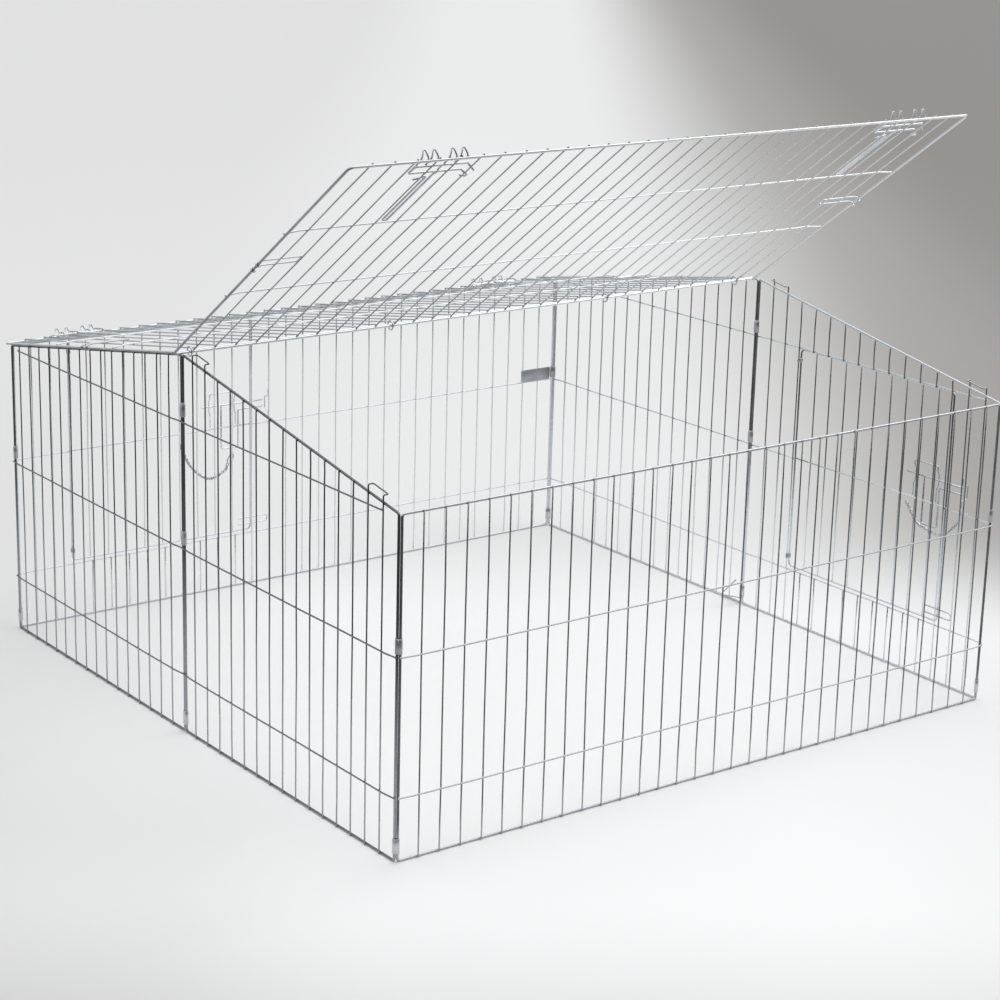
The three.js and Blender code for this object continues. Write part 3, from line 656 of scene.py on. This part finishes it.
def hanging(ridge_y, degrees, angle, shift):
    """The place of a roof panel: it is drawn standing, and leans on its ridge rail to the given angle."""
    return (Matrix.Translation((0, ridge_y * MM, RIDGE_RAIL * MM))
            @ Matrix.Rotation(math.radians(degrees), 4, "Z")
            @ Matrix.Rotation(angle - math.pi / 2, 4, "X")
            @ Matrix.Translation(((shift - WIDTH / 2) * MM, 0, -ROOF_LENGTH * MM)))


ROOF_PLACES = {
    "front_roof": hanging(HALF - RAIL_ASIDE, 0, -LID_ANGLE, -17.0),
    "rear_roof": hanging(HALF + RAIL_ASIDE, 180, ROOF_SLOPE, 10.0),
}


def lug(work, x, rod_level):
    """A hairpin: up one side of the nose, down the other, then over the rods and down behind one of them."""
    on_rail = FRAME_R + FITTING_R - WELD
    over = ROD_OUT + BOLT_R + GAP + FITTING_R
    half_nose = [(6, on_rail, 3.0), (5.5, on_rail + 1.5, -1.0), (3.2, LUG_NOSE * 0.7, -3.5),
                 (1.6, LUG_NOSE, -4.5)]
    path = [at(x - dx, out, z) for dx, out, z in half_nose]
    path += [at(x + dx, out, z) for dx, out, z in half_nose[::-1]]
    path += [at(x + 4, over, ROD_LEVELS[0] - 5), at(x + 3, over, rod_level + 0.5),
             at(x + 3, over - 1.2, rod_level + 2.7), at(x + 3, ROD_OUT - 0.1, rod_level + 3.0)]
    work.wire(arc_corners(path, 1.3, 3), FITTING_R)
    for dx in (-6, 6):
        work.bead(at(x + dx, FRAME_R, 0), (1.8, 1.0, 2.0))


def roof_panel(name, finish, rail_sheen):
    work = Wirework()
    outline_wire(work, [(0, 0), (WIDTH, 0), (WIDTH, ROOF_LENGTH), (0, ROOF_LENGTH)], FRAME_R, ROOF_BEND,
                 rail_sheen)
    cross = [ROOF_LENGTH / 3, 2 * ROOF_LENGTH / 3]
    for k in range(1, FRONT_GAPS):
        x = k * FRONT_PITCH
        bar(work, x, [-OVERRUN, *cross, ROOF_LENGTH + 0.5])
        for z in (0, ROOF_LENGTH):
            work.bead(at(x, FRAME_R - BEAD_SUNK, z), RAIL_BEAD)
        for z in cross:
            work.bead(at(x, BAR_OUT + BAR_R - BEAD_SUNK, z), (1.9, 1.0, 1.9))
    for z in cross:
        level_wire(work, z, 0, WIDTH, True, True, 1)
    for place in LATCH_PLACES:
        for i, offset in enumerate(LUG_PLACES):
            lug(work, place + offset, ROD_LEVELS[1 - i % 2])
    if name == "front_roof":
        # The raised panel's painted reflection fades towards its left: a painted highlight of the soft box on
        # the right.
        work.bright = [b * min(1.0, 0.3 + 0.9 * p.x / WIDTH) for b, p in zip(work.bright, work.points)]
    piece = work.make(f"{name}_panel", ROOF_PLACES[name], finish)
    put_in(piece, name, "panel_wire", name)
    print(name, "faces", len(piece.data.polygons))


roof_panel("front_roof", lid_zinc, 0.9)
roof_panel("rear_roof", roof_zinc, 0.5)

# %% [markdown]
# ## Latches and bails of the roof
# A roof latch is one springy wire: two rods lie along the eave under the lugs, and a long flat loop is the
# handle that slides them. A bail is a bow of wire that lies on the mesh, with both ends curled round the
# edge wire, so that it can swing over and hold the panel to its neighbour.

# %% Roof bolts
def fitting_finish(name):
    """The fittings on the right of the roof and on the back door are the palest: a lit copy of the zinc, as a
    painted highlight.
    """
    return highlit_fitting if name.startswith("back_door") or name.endswith("right") else fitting_zinc


HANDLE_END = 188.0
BAIL_LOW, BAIL_HIGH = 282.0, 298.0


def roof_bolt(name, roof_name, place_x):
    work = Wirework()
    upper, lower = ROD_LEVELS
    rods = [(79, 52), (54, upper), (-31, upper), (-33, lower), (53, lower), (86, 74), (62, 63)]
    work.wire(arc_corners([at(place_x + dx, ROD_OUT, z) for dx, z in rods], 2.4, 5), BOLT_R)
    handle = [(-14, 66), (-6, 61), (4, 57), (4, HANDLE_END), (12, HANDLE_END), (12, 52), (16, lower)]
    work.wire(arc_corners([at(place_x + dx, ROD_OUT, z) for dx, z in handle], 2.9, 5), BOLT_R)
    work.bead(at(place_x + 14, ROD_OUT, lower + 2.4), (2.4, 1.7, 2.4))
    piece = work.make(f"{name}_wire", ROOF_PLACES[roof_name], fitting_finish(name))
    put_in(piece, name, "wire_fitting", name)


def bail(name, roof_name, on_left):
    work = Wirework()
    inward = 1 if on_left else -1
    edge = 0 if on_left else WIDTH
    curl = FRAME_R + GAP + FITTING_R
    on_bars = BAR_OUT + BAR_R + GAP + FITTING_R

    def leg(z):
        """The end of the bow, curled round the edge wire."""
        turns = [math.radians(340 - 250 * k / 16) for k in range(17)]
        return [at(edge + inward * curl * math.cos(a), curl * math.sin(a), z) for a in turns] + [
            at(edge + inward * 2 * curl, on_bars, z)]

    reach = edge + inward * (2 * FRONT_PITCH + 2.2)
    low, high = leg(BAIL_LOW), leg(BAIL_HIGH)
    bow = arc_corners([low[-1], at(reach, on_bars, BAIL_LOW), at(reach, on_bars, BAIL_HIGH), high[-1]], 2.6, 5)
    work.wire(low[:-1] + bow + high[-2::-1], FITTING_R)
    piece = work.make(f"{name}_wire", ROOF_PLACES[roof_name], fitting_finish(name))
    put_in(piece, name, "wire_fitting", name)


for roof_name, sides in (("front_roof", ("left", "right")), ("rear_roof", ("right", "left"))):
    for i, side_name in enumerate(sides):
        roof_bolt(f"{roof_name}_bolt_{side_name}", roof_name, LATCH_PLACES[i])
        bail(f"{roof_name}_bail_{side_name}", roof_name, i == 0)
print("roof latches 4, bails 4")

# %% [markdown]
# ## Ridge rings
# Four open rings of wire tie the two ridge rails. They are bent shut by hand with pliers, so their ends
# don't quite meet.

# %% Ridge rings
RING_WIRE_R = 1.1
RING_R = RAIL_ASIDE + FRAME_R + GAP + RING_WIRE_R
RING_GAPS, RING_IN_GAP = (0, 10, 22, 30), 13
for i, gap in enumerate(RING_GAPS):
    work = Wirework()
    x = LEFT_X + gap * FRONT_PITCH + RING_IN_GAP
    path = []
    for k in range(33):
        a = math.radians(100 + 346 * k / 32)
        path.append(Vector((x + 1.2 * (k / 32 - 0.5), HALF + RING_R * math.cos(a),
                            RIDGE_RAIL + RING_R * math.sin(a))))
    work.wire(path, RING_WIRE_R)
    piece = work.make(f"ridge_tie_{i + 1}", Matrix.Identity(4), fitting_zinc)
    put_in(piece, "walls", "wire_fitting", f"ridge_ring_{i + 1}")
print("ridge ties 4")

# %% [markdown]
# ## The doors
# A door is a small panel that lies on the outside of its wall and laps over the gap. It turns on the wall's
# bar in two clips. Its bolt is one wire with two prongs and a hanging handle, held by a guide of thinner
# wire that arches over the upper prong.

# %% Doors and their bolts
DOOR_LOW, DOOR_HIGH, DOOR_BEND = 101.0, 493.0, 8.0
CLIP_LEVELS, CLIP_HIGH = {"lower": 116.0, "upper": 470.0}, 8.0
BOLT_UPPER, BOLT_LOWER, PRONG_END, HANDLE_LOW = 338.0, 326.0, -28.8, 257.0
HANDLE_LEFT, HANDLE_RIGHT, GUIDE_LEFT, GUIDE_RIGHT = 22.0, 57.0, 28.0, 80.0
# How much painted reflection lightens the doors' rails and level wire.
DOOR_RAIL_SHEEN, DOOR_LEVEL_SHEEN = 0.8, 0.75


def door_place(wall_name, first_bar, pitch):
    return WALL_PLACES[wall_name] @ Matrix.Translation((first_bar * pitch * MM, 0, 0))


def door(name, place, pitch):
    work = Wirework()
    width = DOOR_GAPS * pitch
    corners = [(0, DOOR_LOW), (width, DOOR_LOW), (width, DOOR_HIGH), (0, DOOR_HIGH)]
    outline_wire(work, corners, DOOR_R, DOOR_BEND, DOOR_RAIL_SHEEN, DOOR_OUT)
    for k in range(1, DOOR_GAPS):
        x = k * pitch
        bar(work, x, [DOOR_LOW - OVERRUN, MID_CROSS, DOOR_HIGH + OVERRUN], DOOR_BAR_OUT)
        for z in (DOOR_LOW, DOOR_HIGH):
            work.bead(at(x, DOOR_OUT + DOOR_R - BEAD_SUNK, z), DOOR_BEAD)
        work.bead(at(x, DOOR_OUT + CROSS_R, MID_CROSS), CROSS_BEAD)
    first = len(work.points)
    work.wire([at(x, DOOR_OUT, MID_CROSS) for x in (-2.2, width / 2, width + 2.2)], CROSS_R)
    work.paint_sheen(first, DOOR_LEVEL_SHEEN)
    for x in (0, width):
        work.bead(at(x, DOOR_OUT, MID_CROSS), (2.2, 1.6, 1.8))
    piece = work.make(f"{name}_panel", place, back_zinc if name == "back_door" else right_zinc)
    put_in(piece, name, "panel_wire", name)
    a, b = (place @ (at(width, out, 0) * MM) / MM for out in (BAR_OUT, DOOR_OUT))
    for which, z in CLIP_LEVELS.items():
        clip_place, distance = between(a, b, z)
        strap(f"{name}_{which}_clip", clip_place, distance, BAR_R, DOOR_R, CLIP_HIGH, f"{name}_hinge_{which}")


def door_bolt(name, place):
    work = Wirework()
    work.wire([at(x, BOLT_OUT, BOLT_UPPER) for x in (PRONG_END, 30, 97)], BOLT_R)
    path = [(HANDLE_RIGHT, BOLT_UPPER), (HANDLE_RIGHT, HANDLE_LOW), (HANDLE_LEFT, HANDLE_LOW),
            (HANDLE_LEFT, BOLT_LOWER), (PRONG_END, BOLT_LOWER)]
    work.wire(arc_corners([at(x, BOLT_OUT, z) for x, z in path], 3.4, 6), BOLT_R)
    work.bead(at(HANDLE_RIGHT, BOLT_OUT, BOLT_UPPER), (2.6, 1.9, 2.6))
    piece = work.make(f"{name}_bolt_wire", place, fitting_finish(name))
    put_in(piece, f"{name}_bolt", "wire_fitting", f"{name}_bolt")


def bolt_guide(name, place):
    """One wire with two arches: it goes up the left one and down the right one."""
    work = Wirework()
    lies = DOOR_BAR_OUT + BAR_R + GAP + FITTING_R
    arch = [(lies, 361), (lies, 353), (ARCH_OUT, 346), (ARCH_OUT, 330), (lies, 322), (lies, 300)]
    path = [at(GUIDE_LEFT, out, z) for out, z in arch[::-1]] + [at(GUIDE_RIGHT, out, z) for out, z in arch]
    work.wire(arc_corners(path, 2.2, 5), FITTING_R)
    piece = work.make(f"{name}_guide_wire", place, fitting_finish(name))
    put_in(piece, name, "wire_fitting", f"{name}_guide")


def wall_staple(name, place, pitch):
    work = Wirework()
    arch = [(FOOT_OUT, 358), (FOOT_OUT, 346), (ARCH_OUT, 343), (ARCH_OUT, 321), (FOOT_OUT, 318),
            (FOOT_OUT, 306)]
    work.wire(arc_corners([at(-pitch, out, z) for out, z in arch], 1.6, 4), FITTING_R)
    piece = work.make(f"{name}_staple_wire", place, fitting_finish(name))
    put_in(piece, "walls", "wire_fitting", f"{name}_staple")


def stop_lug(name, place):
    work = Wirework()
    path = [(28, 112), (-33, 112), (-33, 124), (28, 124)]
    work.wire(arc_corners([at(x, FOOT_OUT, z) for x, z in path], 5.2, 8), FITTING_R)
    piece = work.make(f"{name}_stop_wire", place, fitting_finish(name))
    put_in(piece, name, "wire_fitting", f"{name}_stop")


# %% [markdown]
# ## The chains
# A short chain ends in a small clip that is pushed through the bolt, so that a fox can't shake it open.
# The links are flat ovals, and each stands a quarter turn to the one before it. They are laid along the
# same hanging line as the measured tube, so the chain keeps its length.

# %% Chains and clips
LINK_PITCH, LINK_LONG, LINK_WIDE, LINK_R = 4.1, 6.8, 4.4, 0.8
LINK_START = LINK_LONG / 2 - 0.3
CLIP_LONG_R, CLIP_WIDE_R, CLIP_LEAD = 10.0, 4.5, 11.4
OUT_OF_THE_WALL = Vector((0, 1, 0))


def chain(name, place, route):
    """Flat oval links along the hanging line. Gives back the end of the line and its direction there."""
    work = Wirework()
    line = smooth_path([at(x, BOLT_OUT, z) for x, z in route], 24)
    lengths = [0.0]
    for a, b in zip(line, line[1:]):
        lengths.append(lengths[-1] + (b - a).length)
    half_straight = (LINK_LONG - LINK_WIDE) / 2
    half_wide = LINK_WIDE / 2 - LINK_R * 0.2
    count = int((lengths[-1] - LINK_LONG / 2) / LINK_PITCH) + 1
    for n in range(count):
        s = LINK_START + n * LINK_PITCH
        i = next((j for j, total in enumerate(lengths) if total > s), len(line) - 1)
        t = (s - lengths[i - 1]) / (lengths[i] - lengths[i - 1])
        centre = line[i - 1].lerp(line[i], t)
        along = (line[i] - line[i - 1]).normalized()
        flat_side = OUT_OF_THE_WALL.cross(along).normalized()
        tilt = math.radians(45 if n % 2 else -45) + wander(0.25)
        across = flat_side * math.cos(tilt) + along.cross(flat_side) * math.sin(tilt)
        loop = []
        for k in range(12):
            a = 2 * math.pi * (k + 0.5) / 12
            x = math.cos(a) * LINK_WIDE / 2 + math.copysign(half_straight, math.cos(a))
            loop.append(centre + along * x + across * math.sin(a) * half_wide)
        work.wire(loop, LINK_R, closed=True, sides=6)
    piece = work.make(f"{name}_chain_links", place, chain_zinc)
    put_in(piece, name, "chain_wire", f"{name}_chain")
    print(name, "chain", round(lengths[-1]), "mm,", count, "links")
    return line[-1], (line[-1] - line[-3]).normalized()


def snap_clip(name, place, end, along):
    """An oval ring of wire that carries on the line of the chain."""
    work = Wirework()
    across = OUT_OF_THE_WALL.cross(along).normalized()
    centre = end + along * CLIP_LEAD
    loop = []
    for k in range(24):
        a = 2 * math.pi * k / 24
        loop.append(centre + along * (CLIP_LONG_R * math.cos(a)) + across * (CLIP_WIDE_R * math.sin(a)))
    work.wire(loop, FITTING_R, closed=True)
    piece = work.make(f"{name}_clip_ring", place, chain_zinc)
    put_in(piece, name, "chain_wire", f"{name}_clip")


SIDE_CHAIN = [(94, 286), (68, 256), (49, 250), (21, 246), (-2, 255), (-27, 281)]
BACK_CHAIN = [(141, 278), (135, 262), (117, 230), (84, 206), (52, 215), (44, 227)]
for name, wall_name, first_bar, pitch, route in (
        ("side_door", "right_front_wall", SIDE_DOOR_BARS[0], SIDE_PITCH, SIDE_CHAIN),
        ("back_door", "back_wall", BACK_DOOR_BARS[0], FRONT_PITCH, BACK_CHAIN)):
    place = door_place(wall_name, first_bar, pitch)
    door(name, place, pitch)
    door_bolt(name, place)
    bolt_guide(name, place)
    wall_staple(name, place, pitch)
    stop_lug(name, place)
    end, along = chain(name, place, route)
    snap_clip(name, place, end, along)

# %% [markdown]
# ## Plate and ground clip
# A small blank plate hangs inside the back wall, and a bent wire clip lies at the foot of the right middle
# posts. The plate is a thin sheet with round corners, so a rounded outline is drawn once and given a
# thickness with a fine bevel along its edges.

# %% Plate and ground clip
PLATE_WIDE, PLATE_HIGH, PLATE_SHEET, PLATE_CORNER = 70.0, 24.0, 0.9, 3.0
PLATE_X, PLATE_Z = 42.0, 311.8


def label_plate():
    work = Wirework()
    out = BAR_OUT - BAR_R - GAP - PLATE_SHEET
    half_x, half_z = PLATE_WIDE / 2 - PLATE_CORNER, PLATE_HIGH / 2 - PLATE_CORNER
    outline = []
    for side_x, side_z, start in ((1, -1, -90), (1, 1, 0), (-1, 1, 90), (-1, -1, 180)):
        for k in range(7):
            a = math.radians(start + 15 * k)
            outline.append((PLATE_X + side_x * half_x, PLATE_Z + side_z * half_z, math.cos(a), math.sin(a)))
    rings = []
    for depth, inset in ((0, 0.3), (0.25, 0), (PLATE_SHEET - 0.25, 0), (PLATE_SHEET, 0.3)):
        first = len(work.points)
        radius = PLATE_CORNER - inset
        for x, z, nx, nz in outline:
            work.points.append(at(x + nx * radius, out + depth, z + nz * radius))
        rings.append(list(range(first, first + len(outline))))
    for a, b in zip(rings, rings[1:]):
        work.stitch(a, b)
    work.faces += [tuple(reversed(rings[0])), tuple(rings[-1])]
    piece = work.make("blank_plate", WALL_PLACES["back_wall"], plate_metal)
    put_in(piece, "walls", "label_plate", "label_plate")


def ground_clip():
    work = Wirework()
    inside = FRAME_R + GAP + STRIP + GAP + FITTING_R
    path = arc_corners([Vector((x, inside, z)) for x, z in ((12, 43), (52, 3), (-10, 14))], 2.4, 5)
    work.wire(path, FITTING_R)
    piece = work.make("ground_clip_wire", WALL_PLACES["right_rear_wall"], fitting_zinc)
    put_in(piece, "walls", "wire_fitting", "ground_clip")


label_plate()
ground_clip()

# %% [markdown]
# ## Floor and light
# The floor is pale studio paper. It is nearly white round the run and turns to a warm grey far behind it on
# the right, a painted shade of the backdrop's curve, so the wires stay legible against it. The paper is also
# painted a little greyer behind the run and to the sides, as shade of the falling light, and in the near left
# corner as a painted shadow of the run. In front of the paper the studio floor is painted greyer, as shade of
# the unlit studio, and the upright wires mirror that: this is what draws them as dark lines. The tones come
# from the place on the floor and are laid out for this camera, so from behind they read as a pale patch on a
# grey floor.

# %% Floor
# The greyer paper tones are painted shade of the falling light, and the corner tone is a painted shadow of the
# run.
PAPER_NEAR, PAPER_MID, PAPER_FAR = (0.935, 0.94, 0.945), (0.785, 0.79, 0.79), (0.845, 0.85, 0.85)
PAPER_RIGHT, CORNER_SHADOW = (0.85, 0.855, 0.86), (0.83, 0.833, 0.836)
PAPER_EDGE_FAR, PAPER_EDGE_NEAR = (0.765, 0.767, 0.767), (0.73, 0.732, 0.732)
# Painted shade: the grey behind the run, and the studio floor in front of the paper.
BACK_SHADE, BACK_DEEP_SHADE, STUDIO_SHADE = (0.43, 0.425, 0.415), (0.29, 0.281, 0.265), (0.28, 0.28, 0.28)
CAMERA_TURN = 36.98
FLOOR_REACH = 60


def both(material, a, b):
    """The product of two ramps: it is high only where both are."""
    product = node(material, "ShaderNodeMath")
    product.operation = "MULTIPLY"
    material.node_tree.links.new(a, product.inputs[0])
    material.node_tree.links.new(b, product.inputs[1])
    return product.outputs["Value"]


def floor():
    mesh = bpy.data.meshes.new("floor")
    corners = [(x * FLOOR_REACH, y * FLOOR_REACH, 0) for x, y in ((-1, -1), (1, -1), (1, 1), (-1, 1))]
    mesh.from_pydata(corners, [], [(0, 1, 2, 3)])
    sheet = bpy.data.objects.new("floor", mesh)
    bpy.context.scene.collection.objects.link(sheet)
    paper = bpy.data.materials.new("studio_paper")
    paper.use_nodes = True
    shader = paper.node_tree.nodes["Principled BSDF"]
    shader.inputs["Roughness"].default_value = 0.8
    shader.inputs["Specular IOR Level"].default_value = 0.1
    where = node(paper, "ShaderNodeTexCoord")
    # The place on the floor, turned so that x runs to the right of the picture and y away from it.
    turned = node(paper, "ShaderNodeVectorRotate", Angle=math.radians(CAMERA_TURN))
    turned.rotation_type = "Z_AXIS"
    paper.node_tree.links.new(where.outputs["Object"], turned.inputs["Vector"])
    axes = node(paper, "ShaderNodeSeparateXYZ")
    paper.node_tree.links.new(turned.outputs["Vector"], axes.inputs["Vector"])
    across, away = axes.outputs["X"], axes.outputs["Y"]
    # The pale paper: a little greyer behind the run and to the sides, as painted shade of the falling light,
    # and in the near left corner, as a painted shadow of the run. Each ramp runs between two places, in metres.
    colour = link_mix(paper, link_ramp(paper, away, 0.65, 1.3), PAPER_NEAR, PAPER_MID)
    colour = link_mix(paper, link_ramp(paper, away, 3.0, 5.0), colour, PAPER_FAR)
    colour = link_mix(paper, link_ramp(paper, across, 0.05, 0.65), colour, PAPER_RIGHT)
    near_left_shadow = both(paper, link_ramp(paper, across, -0.42, -0.8), link_ramp(paper, away, 0.1, -0.3))
    colour = link_mix(paper, near_left_shadow, colour, CORNER_SHADOW)
    edge = link_mix(paper, link_ramp(paper, away, 3.5, 1.2), PAPER_EDGE_FAR, PAPER_EDGE_NEAR)
    colour = link_mix(paper, link_ramp(paper, across, -0.55, -1.35), colour, edge)
    # The warm grey behind the run, which starts softly right of the middle: painted shade of the backdrop's
    # curve.
    behind = link_ramp(paper, away, 0.6, 1.4)
    colour = link_mix(paper, both(paper, link_ramp(paper, across, -0.03, 0.8), behind), colour, BACK_SHADE)
    colour = link_mix(paper, both(paper, link_ramp(paper, across, 0.5, 1.4), behind), colour, BACK_DEEP_SHADE)
    nearer = both(paper, link_ramp(paper, across, 0.1, 0.8, 0.0, 0.5), link_ramp(paper, away, 5.0, 1.6))
    colour = link_mix(paper, both(paper, nearer, behind), colour, BACK_DEEP_SHADE)
    # The greyer studio floor in front of the paper: painted shade of the unlit studio, which the upright wires
    # mirror.
    colour = link_mix(paper, link_ramp(paper, away, -0.42, -1.5), colour, STUDIO_SHADE)
    paper.node_tree.links.new(colour, shader.inputs["Base Color"])
    mesh.materials.append(paper)


floor()

# %% [markdown]
# ## Lamps
# A round wire mirrors half the room, so the room matters more than the lamps. The sky is a soft ramp: bright
# overhead and behind the run, where the white backdrop would stand, and dark low down on the near side. Level
# wires then get light tops and upright ones stay dark. A broad overhead lamp adds soft shadows: it is a sun
# with a wide disc, so it lights the near and the far floor alike. A long soft box on the right gives the
# bright edge along the raised panel.

# %% Lamps
def lamp(name, kind, place, aim):
    """A lamp that shines along the direction aim."""
    data = bpy.data.lights.new(name, kind)
    made = bpy.data.objects.new(name, data)
    made.location = place
    made.rotation_euler = aim.to_track_quat("-Z", "Y").to_euler()
    bpy.context.scene.collection.objects.link(made)
    return data


def broad_lamp(strength, angle, aim):
    data = lamp("overhead", "SUN", (0, 0, 5), Vector(aim))
    data.energy = strength
    data.angle = math.radians(angle)


def soft_box(name, place, aim, size, power):
    data = lamp(name, "AREA", place, Vector(aim) - Vector(place))
    data.shape = "RECTANGLE"
    data.size, data.size_y = size
    data.energy = power


def studio_sky(dark, light, towards, start, end):
    """A plain grey sky that goes from dark to light as it leans towards one direction."""
    world = bpy.data.worlds.new("studio")
    world.use_nodes = True
    links = world.node_tree.links
    way = node(world, "ShaderNodeTexCoord")
    lean = node(world, "ShaderNodeVectorMath")
    lean.operation = "DOT_PRODUCT"
    lean.inputs[1].default_value = Vector(towards).normalized()
    links.new(way.outputs["Generated"], lean.inputs[0])
    ramp = link_ramp(world, lean.outputs["Value"], start, end, dark, light)
    links.new(ramp, world.node_tree.nodes["Background"].inputs["Color"])
    bpy.context.scene.world = world


broad_lamp(0.85, 70, (-0.25, -0.1, -1))
soft_box("right_box", (3.2, 0.1, 3.3), (0.4, 0.1, 0.7), (0.7, 3.4), 24)
studio_sky(0.08, 0.78, (0.2, 0.25, 0.95), -0.05, 0.4)
bpy.context.scene.view_settings.view_transform = "Standard"
